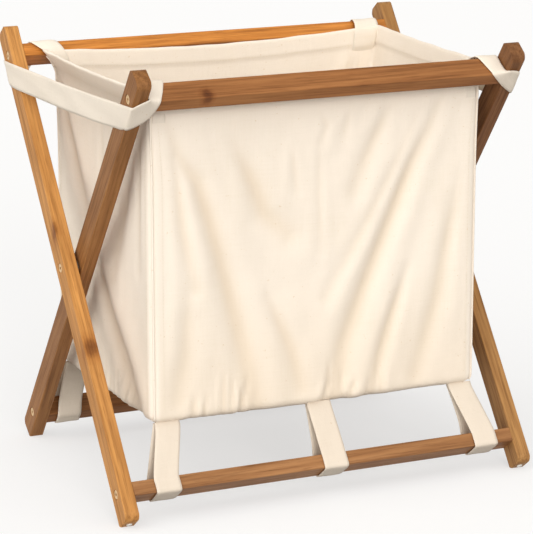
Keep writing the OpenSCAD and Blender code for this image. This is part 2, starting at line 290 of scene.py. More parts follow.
# Wood by piece: (turn that brings its grain upright, seed, colour). The colours are partly the wood's own
# tone, which differs from piece to piece, and partly painted shade: pieces that stand more in shade, such
# as the inner legs, the right outer leg and the back bottom rail, get darker colours.
WOOD_OF = {
    "leg_outer_left": (TURN_OUTER, 1.0, (0.56, 0.265, 0.075)),
    "leg_outer_right": (TURN_OUTER, 2.3, (0.365, 0.185, 0.062)),
    "leg_inner_left": (TURN_INNER, 3.1, (0.285, 0.127, 0.041)),
    "leg_inner_right": (TURN_INNER, 4.7, (0.215, 0.094, 0.035)),
    "rail_top_back": (TURN_RAIL, 5.2, (0.56, 0.215, 0.042)),
    "rail_bottom_front": (TURN_RAIL, 6.4, (0.34, 0.160, 0.062)),
    "rail_top_front": (TURN_RAIL, 7.9, (0.33, 0.137, 0.044)),
    "rail_bottom_back": (TURN_RAIL, 8.5, (0.23, 0.095, 0.030)),
}
# Knots by piece: (place, size) in metres
KNOTS = {
    "leg_outer_left": [((-0.293, -0.085, 0.215), 0.020), ((-0.306, 0.024, 0.352), 0.016)],
    "leg_outer_right": [((0.290, 0.12, 0.44), 0.016)],
    "rail_top_front": [((-0.18, -0.21, 0.575), 0.014)],
}
for node_name, (turn, seed, colour) in WOOD_OF.items():
    material = wood("acacia_" + node_name, turn, seed, colour, KNOTS.get(node_name, ()))
    NODES[node_name].data.materials.clear()
    NODES[node_name].data.materials.append(material)
BRONZE = metal("bronze", (0.80, 0.56, 0.30), 0.30, 260)
WASHER = metal("dull_steel", (0.22, 0.19, 0.16), 0.5, 200)
NYLON = plastic("nylon", (0.85, 0.84, 0.80))
for node_name, obj in NODES.items():
    mat = None
    if node_name.startswith(("bolt", "insert", "pivot_bolt", "pivot_sleeve")):
        mat = BRONZE
    elif node_name.startswith("pivot_washer"):
        mat = WASHER
    elif node_name.startswith("glide"):
        mat = NYLON
    if mat:
        obj.data.materials.clear()
        obj.data.materials.append(mat)
CANVAS = woven("canvas", (0.905, 0.810, 0.695), (0.85, 0.75, 0.61), 0.0011)
WEBBING = woven("webbing", (0.835, 0.750, 0.640), (0.76, 0.67, 0.55), 0.0016, 0.5, 0.05)
# The loops get a darker copy of the strap webbing: painted shade, for they sit under the bag
SHADED_LOOP_WEBBING = woven("shaded_loop_webbing", (0.735, 0.640, 0.530), (0.66, 0.56, 0.44), 0.0016, 0.5, 0.05)
THREAD = woven("thread", (0.86, 0.76, 0.60), (0.72, 0.60, 0.44), 0.0008)


# ---------------------------------------------------------------- mesh helpers

WEB_THICK = 1.6 * MM
RIBBON_STEP = 3 * MM       # spacing of the rows along a ribbon
RIBBON_COLUMNS = 10
EDGE_THIN, EDGE_FLAT, EDGE_FADE = 0.75, 0.2 * MM, 0.6 * MM    # webbing is thinner near its edges
THREAD_WIDTH, THREAD_LIFT = 0.7 * MM, 0.25 * MM


def make_mesh(name, verts, faces, uvs, material):
    """Smooth-shaded mesh; uvs has one (u, v) for each corner of each face, in order."""
    mesh = bpy.data.meshes.new(name)
    mesh.from_pydata([tuple(v) for v in verts], [], faces)
    layer = mesh.uv_layers.new(name="cloth")
    flat = [c for face in uvs for corner in face for c in corner]
    layer.data.foreach_set("uv", flat)
    mesh.materials.append(material)
    mesh.validate()
    mesh.update()
    mesh.polygons.foreach_set("use_smooth", [True] * len(mesh.polygons))
    obj = bpy.data.objects.new(name, mesh)
    bpy.context.scene.collection.objects.link(obj)
    return obj


def smoothstep(a, b, x):
    """0 up to x = a, 1 from x = b, smooth between."""
    t = np.clip((np.asarray(x, float) - a) / (b - a), 0, 1)
    return t * t * (3 - 2 * t)


def spline(points, step):
    """Catmull-Rom through the points, resampled about every step metres."""
    p = np.array(points, float)
    p = np.vstack([2 * p[0] - p[1], p, 2 * p[-1] - p[-2]])
    out = []
    for i in range(1, len(p) - 2):
        a, b, c, d = p[i - 1:i + 3]
        count = max(2, int(np.linalg.norm((c - b)[:3]) / step))
        for k in range(count):
            t = k / count
            out.append(0.5 * (2 * b + (c - a) * t + (2 * a - 5 * b + 4 * c - d) * t * t
                              + (3 * b - 3 * c + d - a) * t ** 3))
    out.append(p[-2])
    return np.array(out)


def ribbon(name, edges, thick=WEB_THICK, ripple=0.0, seed=0, start=0.0, material=WEBBING):
    """Webbing between two edges, given as (edge, other edge) points in metres.

    ripple is the height of the waves in it, and start is how far along the strap its weave starts.
    """
    both = spline([list(a) + list(b) for a, b in edges], RIBBON_STEP)
    first, second = both[:, :3], both[:, 3:]
    mid = (first + second) / 2
    tangent = np.gradient(mid, axis=0)
    across = second - first
    normal = np.cross(tangent, across)
    normal /= np.linalg.norm(normal, axis=1, keepdims=True) + TINY
    width = np.linalg.norm(across, axis=1)
    ts = np.linspace(0, 1, RIBBON_COLUMNS + 1)
    length = np.concatenate([[0], np.cumsum(np.linalg.norm(np.diff(mid, axis=0), axis=1))])
    rows, uv = [], []
    rng = random.Random(seed)
    phase = rng.random() * 6.28
    for i in range(len(mid)):
        ring, ring_uv = [], []
        for side in (1, -1):
            order = ts if side == 1 else ts[::-1]
            for t in order:
                edge = min(t, 1 - t) * width[i]
                half = thick / 2 * (1 - EDGE_THIN * math.exp(-(edge + EDGE_FLAT) / EDGE_FADE))
                ends = min(1.0, 40 * length[i], 40 * (length[-1] - length[i]))
                bow = ripple * ends * math.sin(t * math.pi * 2 + phase + length[i] * 40)
                ring.append(first[i] + across[i] * t + normal[i] * (side * half + bow))
                ring_uv.append((t * width[i], start + length[i]))
        rows.append(ring)
        uv.append(ring_uv)
    m = len(rows[0])
    verts = [p for ring in rows for p in ring]
    faces, face_uv = [], []
    for i in range(len(rows) - 1):
        for j in range(m):
            k = (j + 1) % m
            faces.append((i * m + j, i * m + k, (i + 1) * m + k, (i + 1) * m + j))
            face_uv.append((uv[i][j], uv[i][k], uv[i + 1][k], uv[i + 1][j]))
    for row in (0, len(rows) - 1):
        base = len(verts)
        verts += rows[row]
        for j in range(RIBBON_COLUMNS):
            quad = (j, m - 1 - j, m - 2 - j, j + 1) if row == 0 else (j, j + 1, m - 2 - j, m - 1 - j)
            faces.append(tuple(base + v for v in quad))
            face_uv.append(tuple(uv[row][v] for v in quad))
    return make_mesh(name, verts, faces, face_uv, material)


def stitches(name, runs, length=3.0 * MM, gap=1.6 * MM):
    """Rows of thread. Each run is (points, normals) along a seam."""
    verts, faces, face_uv = [], [], []
    for points, normals in runs:
        points, normals = np.array(points, float), np.array(normals, float)
        gone = np.concatenate([[0], np.cumsum(np.linalg.norm(np.diff(points, axis=0), axis=1))])
        at = 0.0
        while at + length < gone[-1]:
            ends = []
            for d in (at, at + length / 2, at + length):
                ends.append((np.array([np.interp(d, gone, points[:, c]) for c in range(3)]),
                             np.array([np.interp(d, gone, normals[:, c]) for c in range(3)])))
            along = ends[2][0] - ends[0][0]
            along /= np.linalg.norm(along) + TINY
            up = ends[1][1] / (np.linalg.norm(ends[1][1]) + TINY)
            side = np.cross(along, up) * THREAD_WIDTH / 2
            base = len(verts)
            for (p, _), scale, high in ((ends[0], 0.45, -0.3), (ends[1], 1.0, 1.0), (ends[2], 0.45, -0.3)):
                low, crown = up * THREAD_LIFT * high * 0.3, up * THREAD_LIFT * high * 2.2
                verts += [p - side * scale + low, p + crown, p + side * scale + low]
            for r in range(2):
                for c in range(2):
                    a = base + r * 3 + c
                    faces.append((a, a + 1, a + 4, a + 3))
                    face_uv.append(((0, 0), (0.0007, 0), (0.0007, 0.001), (0, 0.001)))
            at += length + gap
    return make_mesh(name, verts, faces, face_uv, THREAD)


def tube(name, path, radius, material, sides=8):
    """Round piping along a path, closed at both ends."""
    path = np.array(path, float)
    tangent = np.gradient(path, axis=0)
    tangent /= np.linalg.norm(tangent, axis=1, keepdims=True)
    up = np.cross(tangent, [0.3, 0.9, 0.1])
    up /= np.linalg.norm(up, axis=1, keepdims=True)
    other = np.cross(tangent, up)
    verts, faces, face_uv = [], [], []
    gone = np.concatenate([[0], np.cumsum(np.linalg.norm(np.diff(path, axis=0), axis=1))])
    for i in range(len(path)):
        for j in range(sides):
            a = 2 * math.pi * j / sides
            verts.append(path[i] + (up[i] * math.cos(a) + other[i] * math.sin(a)) * radius)
    for i in range(len(path) - 1):
        for j in range(sides):
            k = (j + 1) % sides
            faces.append((i * sides + j, i * sides + k, (i + 1) * sides + k, (i + 1) * sides + j))
            u0, u1 = j * radius, (j + 1) * radius
            face_uv.append(((u0, gone[i]), (u1, gone[i]), (u1, gone[i + 1]), (u0, gone[i + 1])))
    faces.append(tuple(range(sides - 1, -1, -1)))
    face_uv.append(tuple((0.001 * j, 0.0) for j in range(sides)))
    last = (len(path) - 1) * sides
    faces.append(tuple(range(last, last + sides)))
    face_uv.append(tuple((0.001 * j, 0.0) for j in range(sides)))
    return make_mesh(name, verts, faces, face_uv, material)


# ---------------------------------------------------------------- the bag

BAG_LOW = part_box("panel_bottom")[0][2]
BAG_TOP = 0.5770
RIM_RISE = 1.3 * MM          # the folded edge of the mouth, above its two layers
HEM_STITCH_IN = 3.5 * MM
BODY_X, BODY_Y = 0.2440, 0.1750
PANEL_HIGH, PANEL_WIDE = 0.457, (0.488, 0.350)   # front and back, then left and right
# (x, y) of the four corners at the mouth and down the body, starting front left, anticlockwise from above
MOUTH = [(-0.2565, -0.1768), (0.2480, -0.1768), (0.2690, 0.1752), (-0.2640, 0.1752)]
BODY = [(-BODY_X, -BODY_Y), (BODY_X, -BODY_Y), (BODY_X, BODY_Y), (-BODY_X, BODY_Y)]
SAG = [-0.006, -0.002, -0.0105, -0.003]             # of the rim of each side, at its middle
CORNER_DROP = [-0.004, 0.001, 0.001, -0.001]        # of each corner of the rim
HEM = 0.027
CLOTH, HEM_CLOTH = 1.5 * MM, 3.4 * MM
BOTTOM_ROUND = 0.013
# Creases by side: (points as (share along, share down), depth in mm, half width in mm)
CREASES = {
    0: [
        ([(0.035, 0.09), (0.065, 0.20), (0.12, 0.28), (0.165, 0.42), (0.22, 0.62), (0.27, 0.82),
          (0.30, 0.97)], 5.4, 13),
        ([(0.05, 0.20), (0.06, 0.32), (0.075, 0.43), (0.11, 0.60)], 3.2, 8),
        ([(0.24, 0.18), (0.30, 0.30), (0.335, 0.39), (0.41, 0.46)], 4.4, 13),
        ([(0.34, 0.64), (0.385, 0.74), (0.42, 0.82), (0.45, 0.94)], 3.4, 10),
        ([(0.90, 0.08), (0.86, 0.19), (0.81, 0.29), (0.73, 0.48), (0.655, 0.66), (0.59, 0.83),
          (0.56, 0.98)], 6.0, 12),
        ([(0.735, 0.09), (0.68, 0.21), (0.62, 0.35)], 3.2, 10),
        ([(0.82, 0.14), (0.75, 0.29), (0.64, 0.49), (0.53, 0.67)], 2.2, 8),
        ([(0.80, 0.60), (0.735, 0.80), (0.70, 0.91), (0.68, 0.99)], 4.2, 8),
        ([(0.975, 0.35), (0.93, 0.56), (0.90, 0.72), (0.83, 0.95)], 3.6, 12),
        ([(0.09, 0.60), (0.08, 0.80), (0.055, 0.93)], 2.6, 12),
        ([(0.51, 0.10), (0.53, 0.14), (0.515, 0.19)], 1.6, 4),
        ([(0.60, 0.10), (0.585, 0.18)], 1.4, 5),
        ([(0.42, 0.20), (0.435, 0.33)], 1.6, 5),
        ([(0.505, 0.18), (0.512, 0.52)], 1.2, 5),
    ],
    1: [
        ([(0.10, 0.05), (0.22, 0.40), (0.30, 0.85)], 4.6, 15),
        ([(0.90, 0.05), (0.75, 0.40), (0.66, 0.85)], 4.6, 15),
        ([(0.50, 0.10), (0.48, 0.55)], 2.5, 12),
    ],
    2: [
        ([(0.06, 0.05), (0.15, 0.30), (0.24, 0.65), (0.30, 0.95)], 5.4, 13),
        ([(0.94, 0.05), (0.86, 0.25), (0.74, 0.62), (0.66, 0.96)], 5.4, 12),
        ([(0.24, 0.10), (0.34, 0.40), (0.44, 0.70)], 3.4, 11),
        ([(0.76, 0.10), (0.66, 0.40), (0.56, 0.66)], 3.4, 11),
        ([(0.50, 0.20), (0.51, 0.70)], 1.6, 8),
        ([(0.035, 0.075), (0.038, 0.24)], 2.6, 4),
        ([(0.055, 0.075), (0.06, 0.20)], 2.0, 3),
        ([(0.075, 0.075), (0.085, 0.26)], 2.6, 4),
        ([(0.955, 0.075), (0.95, 0.24)], 2.6, 4),
    ],
    3: [
        ([(0.02, 0.05), (0.08, 0.21), (0.18, 0.35), (0.29, 0.46)], 4.6, 11),
        ([(0.36, 0.54), (0.49, 0.68), (0.59, 0.76), (0.76, 0.88), (0.88, 0.98)], 6.4, 14),
        ([(0.80, 0.26), (0.70, 0.42), (0.58, 0.62)], 4.0, 16),
        ([(0.50, 0.12), (0.46, 0.42)], 2.0, 9),
        ([(0.93, 0.10), (0.90, 0.55)], 2.4, 8),
        ([(0.66, 0.10), (0.64, 0.40)], 1.6, 7),
    ],
}
random.seed(11)
for side, low, high, many in ((0, 0.50, 0.86, 8), (0, 0.10, 0.48, 6), (1, 0.1, 0.9, 7), (2, 0.1, 0.9, 9),
                              (3, 0.1, 0.9, 7)):
    for _ in range(many):
        at = random.uniform(low, high)
        CREASES[side].append(([(at + random.uniform(0.0, 0.03), random.uniform(0.86, 0.93)), (at, 1.0)],
                              random.uniform(1.4, 2.8), random.uniform(2.5, 4.5)))


FULL_SHADE_DEPTH = 5.5     # a crease this deep in mm, or deeper, gets the full painted shade


def crease_depth(side, x, y, wide, high):
    """How far the cloth dips at (x, y) metres on a side, and how much painted shade its creases lay there
    (0 to 1).
    """
    total, crease_shade = np.zeros_like(x), np.zeros_like(x)
    for points, depth, half in CREASES[side]:
        p = np.array(points) * (wide, high)
        spans = np.linalg.norm(np.diff(p, axis=0), axis=1)
        whole = spans.sum()
        nearest, along = np.full_like(x, 1e9), np.zeros_like(x)
        gone = 0.0
        for a, b, span in zip(p[:-1], p[1:], spans):
            d = (b - a) / span
            t = np.clip((x - a[0]) * d[0] + (y - a[1]) * d[1], 0, span)
            dist = np.hypot(x - a[0] - d[0] * t, y - a[1] - d[1] * t)
            closer = dist < nearest
            nearest = np.where(closer, dist, nearest)
            along = np.where(closer, gone + t, along)
            gone += span
        fade = smoothstep(0, 0.35, along / whole) * (1 - 0.55 * smoothstep(0.6, 1, along / whole))
        w = half * MM * (0.8 + 0.6 * along / whole)
        valley = np.exp(-(nearest / w) ** 2)
        ridge = np.exp(-((nearest - 2.1 * w) / (1.3 * w)) ** 2)
        strength = 0.25 + 0.75 * fade
        total += depth * MM * strength * (0.42 * ridge - valley)
        # painted shade of this crease: strongest along its valley, fuller for deeper creases
        this_crease_shade = min(1.0, depth / FULL_SHADE_DEPTH) * strength * np.exp(-(nearest / (0.8 * w)) ** 2)
        crease_shade = np.maximum(crease_shade, this_crease_shade)
    return total, crease_shade


# Share of the height over which each corner flares out to the mouth, and how fast
FLARE_DOWN, FLARE_POWER = (0.075, 0.075, 0.42, 0.075), 1.6
RADIUS_TOP, RADIUS_MORE = 0.007, 0.007     # of the bag's upright corners, and how much it grows below
RIM_WAVE = 0.0011
SEAM_UP, SEAM_SAG = 0.0005, 0.0015
BELLY = (-0.0035, -0.005)                  # middles of the front and back, and of the left and right
ROUGH, FINE_ROUGH = 0.0022, 0.0009         # unevenness of the cloth between its creases
LOW_SHADE = 0.55                           # how much painted shade darkens the cloth towards the bottom
SIDE_COLUMNS = (112, 76, 112, 76)
CORNER, CORNER_STEPS = 10, 5
OUTWARD = np.array([(0, -1, 0), (1, 0, 0), (0, 1, 0), (-1, 0, 0)], float)
# Rings of the bottom, from the seam inwards, and how far it sags and crinkles
FLOOR_SHARES = (0.94, 0.86, 0.74, 0.60, 0.45, 0.30, 0.16, 0.05)
FLOOR_DOWN, FLOOR_SAG, FLOOR_CRINKLE = 0.001, 0.0035, 0.0012
SIGN_ROW, GIRTH_ROW = 40, 50     # rows that tell which way the normals face, and how far round the bag is


def bag_columns():
    """The side that each column is on, and its share along it, round the bag.

    The side is 0 front, 1 right, 2 back, 3 left, and CORNER more for the corner that follows the side.
    """
    side_of, share_of = [], []
    for side, count in enumerate(SIDE_COLUMNS):
        for i in range(count):
            side_of.append(side)
            share_of.append(i / (count - 1))
        for i in range(1, CORNER_STEPS):
            side_of.append(side + CORNER)
            share_of.append(i / CORNER_STEPS)
    return np.array(side_of), np.array(share_of)


def bag_plan(w, side_of, share_of):
    """(x, y) of every column at the share w of the height down."""
    mouth, body = np.array(MOUTH), np.array(BODY)
    flare = np.array([max(0.0, 1 - w / deep) ** FLARE_POWER for deep in FLARE_DOWN])
    corners = body + (mouth - body) * flare[:, None]
    radius = RADIUS_TOP + RADIUS_MORE * float(smoothstep(0.0, 0.3, w))
    row = np.zeros((len(side_of), 2))
    for side in range(4):
        a, b, c = corners[side], corners[(side + 1) % 4], corners[(side + 2) % 4]
        along = (b - a) / np.linalg.norm(b - a)
        nxt = (c - b) / np.linalg.norm(c - b)
        here = side_of == side
        span = np.linalg.norm(b - a) - 2 * radius
        row[here] = a + along * (radius + share_of[here, None] * span)
        turn = side_of == side + CORNER
        t = share_of[turn, None]
        p0, p2 = b - along * radius, b + nxt * radius
        row[turn] = (1 - t) ** 2 * p0 + 2 * t * (1 - t) * b + t * t * p2
    return row


def rim_and_seam(side_of, lerp):
    """Heights of the rim and of the bottom seam at every column."""
    on_side, flat_side = side_of < CORNER, side_of % CORNER
    sag = np.array(SAG)[flat_side] * np.where(on_side, 4 * lerp * (1 - lerp), 0)
    wave = [RIM_WAVE * noise.noise((i * 0.11, flat_side[i] * 7.0, 3.0)) for i in range(len(side_of))]
    wave = np.array(wave) * np.where(on_side, np.clip(12 * lerp * (1 - lerp), 0, 1), 0)
    drop = np.array(CORNER_DROP)
    top = BAG_TOP + sag + wave + drop[flat_side] * (1 - lerp) + drop[(flat_side + 1) % 4] * lerp
    low = BAG_LOW + SEAM_UP - np.where(on_side, SEAM_SAG * 4 * lerp * (1 - lerp), 0.0)
    return top, low


def panel_relief(side, share, down):
    """How far the cloth of a side stands out at each point, and how much painted shade it gets there, in
    its creases and towards the bottom.
    """
    wide, high = PANEL_WIDE[side % 2], PANEL_HIGH
    x = np.broadcast_to(share * wide, (len(down), len(share)))
    y = np.broadcast_to((down * high)[:, None], x.shape)
    push, crease_shade = crease_depth(side, x.copy(), y.copy(), wide, high)
    belly = BELLY[side % 2] * np.sin(np.pi * np.clip(x / wide, 0, 1)) \
        * np.sin(np.pi * np.clip(y / high, 0, 1)) ** 0.8
    rough = np.zeros_like(push)
    for i in range(push.shape[0]):
        for j in range(push.shape[1]):
            px, py = x[i, j], y[i, j]
            rough[i, j] = ROUGH * noise.noise((px * 9, py * 5, side * 5.0)) \
                + FINE_ROUGH * noise.noise((px * 38, py * 16, side * 9.0))
    calm = (0.25 + 0.75 * smoothstep(0.02, 0.16, down))[:, None]    # the hem holds the cloth flatter
    # painted shade: the cloth is drawn darker towards the bottom
    low = LOW_SHADE * smoothstep(0.55, 1.0, down)[:, None]
    return (push + belly + rough) * calm, np.minimum(1.0, crease_shade * calm + low)


def build_bag():
    """Grid of points of the outer face: rows from the mouth down, columns round the bag."""
    hem, rest = np.linspace(0, HEM, 8), np.linspace(HEM, PANEL_HIGH, 92)[1:]
    down = np.concatenate([hem, rest]) / PANEL_HIGH
    side_of, share_of = bag_columns()
    on_side, flat_side = side_of < CORNER, side_of % CORNER
    lerp = np.where(on_side, share_of, 1.0)
    grid, shade = np.zeros((len(down), len(side_of), 3)), np.zeros((len(down), len(side_of)))
    top, low = rim_and_seam(side_of, lerp)
    for r, w in enumerate(down):
        grid[r, :, :2] = bag_plan(w, side_of, share_of)
        grid[r, :, 2] = top + (low - top) * w
    frac = np.where(on_side, 0.0, share_of)[:, None]
    outward = OUTWARD[flat_side] * (1 - frac) + OUTWARD[(flat_side + 1) % 4] * frac
    outward /= np.linalg.norm(outward, axis=1, keepdims=True)
    hold = np.where(on_side, smoothstep(0, 0.05, lerp) * smoothstep(0, 0.05, 1 - lerp), 0)
    # shade holds the painted shade of each point, from the creases and towards the bottom
    for side in range(4):
        here = side_of == side
        relief, shade[:, here] = panel_relief(side, share_of[here], down)
        grid[:, here] += outward[here][None] * (relief * hold[here][None, :])[..., None]
    height = np.maximum(0, BOTTOM_ROUND - (grid[..., 2] - BAG_LOW))
    tuck = BOTTOM_ROUND - np.sqrt(np.maximum(0, BOTTOM_ROUND ** 2 - np.minimum(height, BOTTOM_ROUND) ** 2))
    grid -= outward[None] * tuck[..., None]
    return grid, shade, down, side_of, outward


def surface_normals(grid):
    """Unit normals of a grid that closes on itself across its columns."""
    across = np.roll(grid, -1, 1) - np.roll(grid, 1, 1)
    along = np.gradient(grid, axis=0)
    normal = np.cross(along, across)
    normal /= np.linalg.norm(normal, axis=2, keepdims=True) + TINY
    return normal


def bottom_rows(ring):
    """Rings of the bottom, inwards from the ring of its seam."""
    middle = ring[:, :2].mean(0)
    rows = []
    for f in FLOOR_SHARES:
        row = ring.copy()
        row[:, :2] = middle + (ring[:, :2] - middle) * f
        crinkle = np.array([noise.noise((p[0] * 14, p[1] * 14, 2.0)) for p in row])
        level = ring[:, 2] * f + (BAG_LOW - FLOOR_DOWN) * (1 - f)
        row[:, 2] = level + FLOOR_CRINKLE * crinkle * (1 - f) - FLOOR_SAG * (1 - f * f)
        rows.append(row)
    return rows


def bag_mesh():
    """The bag as one closed shell: inner bottom, inner face, rim, outer face, outer bottom."""
    grid, shade, down, side_of, outward = build_bag()
    normal = surface_normals(grid)
    if (normal[SIGN_ROW] * outward).sum() < 0:
        normal = -normal
    cols = grid.shape[1]
    depth = np.where(down * PANEL_HIGH < HEM - 0.6 * MM, HEM_CLOTH, CLOTH)
    inner = grid - normal * depth[:, None, None]
    rim = (grid[0] + inner[0]) / 2
    rim[:, 2] += RIM_RISE
    floor_rows = bottom_rows(grid[-1])
    inner_floor = [row + (0, 0, CLOTH) for row in floor_rows]
    stack = inner_floor[::-1] + list(inner[::-1]) + [rim] + list(grid) + floor_rows
    verts = np.concatenate(stack)
    around = np.concatenate([[0], np.cumsum(np.linalg.norm(np.diff(
        np.vstack([grid[GIRTH_ROW], grid[GIRTH_ROW][:1]]), axis=0), axis=1))])
    travel = np.concatenate([[0], np.cumsum([np.linalg.norm(b - a, axis=1).mean()
                                             for a, b in zip(stack[:-1], stack[1:])])])
    faces, face_uv = [], []
    for r in range(len(stack) - 1):
        for c in range(cols):
            k = (c + 1) % cols
            faces.append((r * cols + c, r * cols + k, (r + 1) * cols + k, (r + 1) * cols + c))
            face_uv.append(((around[c], travel[r]), (around[c + 1], travel[r]),
                            (around[c + 1], travel[r + 1]), (around[c], travel[r + 1])))
    for r in (0, len(stack) - 1):
        order = range(cols) if r else range(cols - 1, -1, -1)
        face = tuple(r * cols + c for c in order)
        faces.append(face)
        face_uv.append(tuple((around[c], travel[r]) for c in order))
    obj = make_mesh("bag_canvas", verts, faces, face_uv, CANVAS)
    # painted shade on the cloth at each point, from its creases and near the bottom; the inner face gets
    # six tenths of it
    none = np.zeros((len(inner_floor), cols))
    painted_shade = np.concatenate([none, 0.6 * shade[::-1], shade[:1], shade, none])
    layer = obj.data.attributes.new("painted_shade", "FLOAT", "POINT")
    layer.data.foreach_set("value", painted_shade.ravel().astype(np.float32))
    return obj, grid, inner, normal, down, side_of


BAG, OUTER, INNER, NORMAL, DOWN, SIDE = bag_mesh()
THREAD_GAP = 0.2 * MM        # threads lie this far off the cloth


def on_bag(obj):
    """The piece rides on the bag and flattens with it as the frame closes."""
    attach(obj, "bag")
    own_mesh(obj)
    return obj


on_bag(BAG)
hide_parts("panel_front", "panel_back", "panel_left", "panel_right", "panel_bottom")

hem_row = int(np.argmin(abs(DOWN * PANEL_HIGH - (HEM - HEM_STITCH_IN))))
closed_cols = list(range(OUTER.shape[1])) + [0]
hem_way = NORMAL[hem_row, closed_cols]
hem_runs = [
    (OUTER[hem_row, closed_cols] + hem_way * THREAD_GAP, hem_way),
    (INNER[hem_row, closed_cols] - hem_way * THREAD_GAP, -hem_way),
]
on_bag(stitches("hem_stitches", hem_runs))

CORD_RADIUS = 1.5 * MM
CORNER_NODES = ("piping_front_right", "piping_back_right", "piping_back_left", "piping_front_left")
for side, node_name in enumerate(CORNER_NODES):
    cols = [i for i in range(len(SIDE)) if SIDE[i] == side + CORNER]
    col = cols[len(cols) // 2]
    path = OUTER[2:-1, col] + NORMAL[2:-1, col] * 0.8 * MM
    cording = tube(node_name.replace("piping", "cording"), path, CORD_RADIUS, CANVAS)
    on_bag(cording)
    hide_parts(node_name)
    runs = []
    for shift in (-3, 3):
        c = (col + shift) % len(SIDE)
        runs.append((OUTER[6:-3, c] + NORMAL[6:-3, c] * THREAD_GAP, NORMAL[6:-3, c]))
    on_bag(stitches(node_name.replace("piping", "corner_stitches"), runs))


# ---------------------------------------------------------------- side straps
# The tabs and loops ride on their rails. A thinner copy of each sewn end rides on the bag, inside the
# first, and the two slide apart as the frame closes. The long middle of each side strap, between the two
# top rails, is baked in place and rides on no body.

RAIL_Y = 0.200               # the sewn ends of the tabs lie inside this
INNER_THICK = 0.9 * MM


def top_point(x, s, n, side):
    """Point beside a top rail: s along the leg, n out across it (mm); side is -1 front, 1 back."""
    return (x * MM, side * (s * MM * SIN + n * MM * COS), PIVOT_Z + s * MM * COS - n * MM * SIN)


def low_point(x, s, n, side):
    """Point beside a bottom rail: n is up and out across the leg (mm)."""
    return (x * MM, side * (s * MM * SIN + n * MM * COS), PIVOT_Z - s * MM * COS + n * MM * SIN)


def plain(x, y, z):
    """Point in mm."""
    return (x * MM, y * MM, z * MM)


def narrowed(edges, by=1.2 * MM):
    """The same run of webbing, a little narrower, so that it hides inside the first."""
    out = []
    for a, b in edges:
        a, b = Vector(a), Vector(b)
        side = (b - a).normalized() * by
        out.append((tuple(a + side), tuple(b - side)))
    return out


def tucked(edges, end):
    """The run with its sewn end carried on down between the layers of the bag, unseen."""
    a, b = edges[end]
    more = [tuple((x * 0.998, y * 1.0235, z - drop) for x, y, z in (a, b)) for drop in (8 * MM, 20 * MM)]
    return more[::-1] + edges if end == 0 else edges + more


def sewn_box(name, edge, face):
    """Box of stitches on the end of a tab; face is the way its inner side faces along Y."""
    low, high = [], []
    for row, up in ((low, 3 * MM), (high, 13 * MM)):
        left, right = [Vector(p) + Vector((0, face * 1.0 * MM, up)) for p in edge]
        inset = (right - left).normalized() * 2.5 * MM
        row += [left + inset, right - inset]
    runs = [low, high, [low[0], high[0]], [low[1], high[1]]]
    return stitches(name, [(run, [(0, face, 0)] * 2) for run in runs], length=2.2 * MM, gap=1.3 * MM)


def strap(hand, mirror, tab_back, front):
    """Side strap as four ribbons; hand is left or right, mirror is 1 or -1 along X."""
    over_right, over_left = tab_back[-1]
    back = [
        (over_right, over_left),
        (top_point(-241, 340.0, 17.2, 1), top_point(-277, 342.2, 15.5, 1)),
        (top_point(-250, 335, 18.0, 1), top_point(-281, 343, 18.0, 1)),
        (top_point(-266, 324, 18.4, 1), top_point(-288, 341.5, 18.4, 1)),
        (top_point(-284, 302, 18.4, 1), top_point(-296, 337, 18.4, 1)),
        (top_point(-302, 293, 18.0, 1), top_point(-303.5, 333, 18.0, 1)),
        (top_point(-307.2, 291.5, 15.0, 1), top_point(-307.2, 331.5, 15.0, 1)),
        (plain(-307.6, 176, 526.5), plain(-307.5, 193, 559.6)),
        (plain(-307.2, 150, 526.0), plain(-307.1, 165, 559.8)),
        (plain(-303.5, 100, 525.0), plain(-303.0, 103, 559.0)),
        (plain(-294.8, -20, 523.0), plain(-294.4, -20, 557.4)),
    ]
    parts = {"tab_back": tab_back, "back": back, "front": front[0], "tab_front": front[1]}
    made, gone = {}, 0.0
    for part, edges in parts.items():
        placed = [tuple((p[0] * mirror, p[1], p[2]) for p in pair) for pair in edges]
        if part.startswith("tab"):
            inside = [pair for pair in placed if abs(pair[0][1]) < RAIL_Y]
            anchor = ribbon(f"strap_{hand}_anchor_{part[4:]}", narrowed(inside), thick=INNER_THICK)
            on_bag(anchor)
            end, face = (0, -1) if part == "tab_back" else (-1, 1)
            on_bag(sewn_box(f"strap_{hand}_sewing_{part[4:]}", placed[end], face))
            placed = tucked(placed, end)
        made[part] = ribbon(f"strap_{hand}_{part}", placed, ripple=0.35 * MM,
                            seed=len(part) + mirror, start=gone)
        gone += sum((Vector(a[0]) - Vector(b[0])).length for a, b in zip(placed[:-1], placed[1:]))
    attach(made["tab_back"], "outer_frame")
    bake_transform(made["back"])
    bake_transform(made["front"])
    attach(made["tab_front"], "inner_frame")
    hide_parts("strap_" + hand)


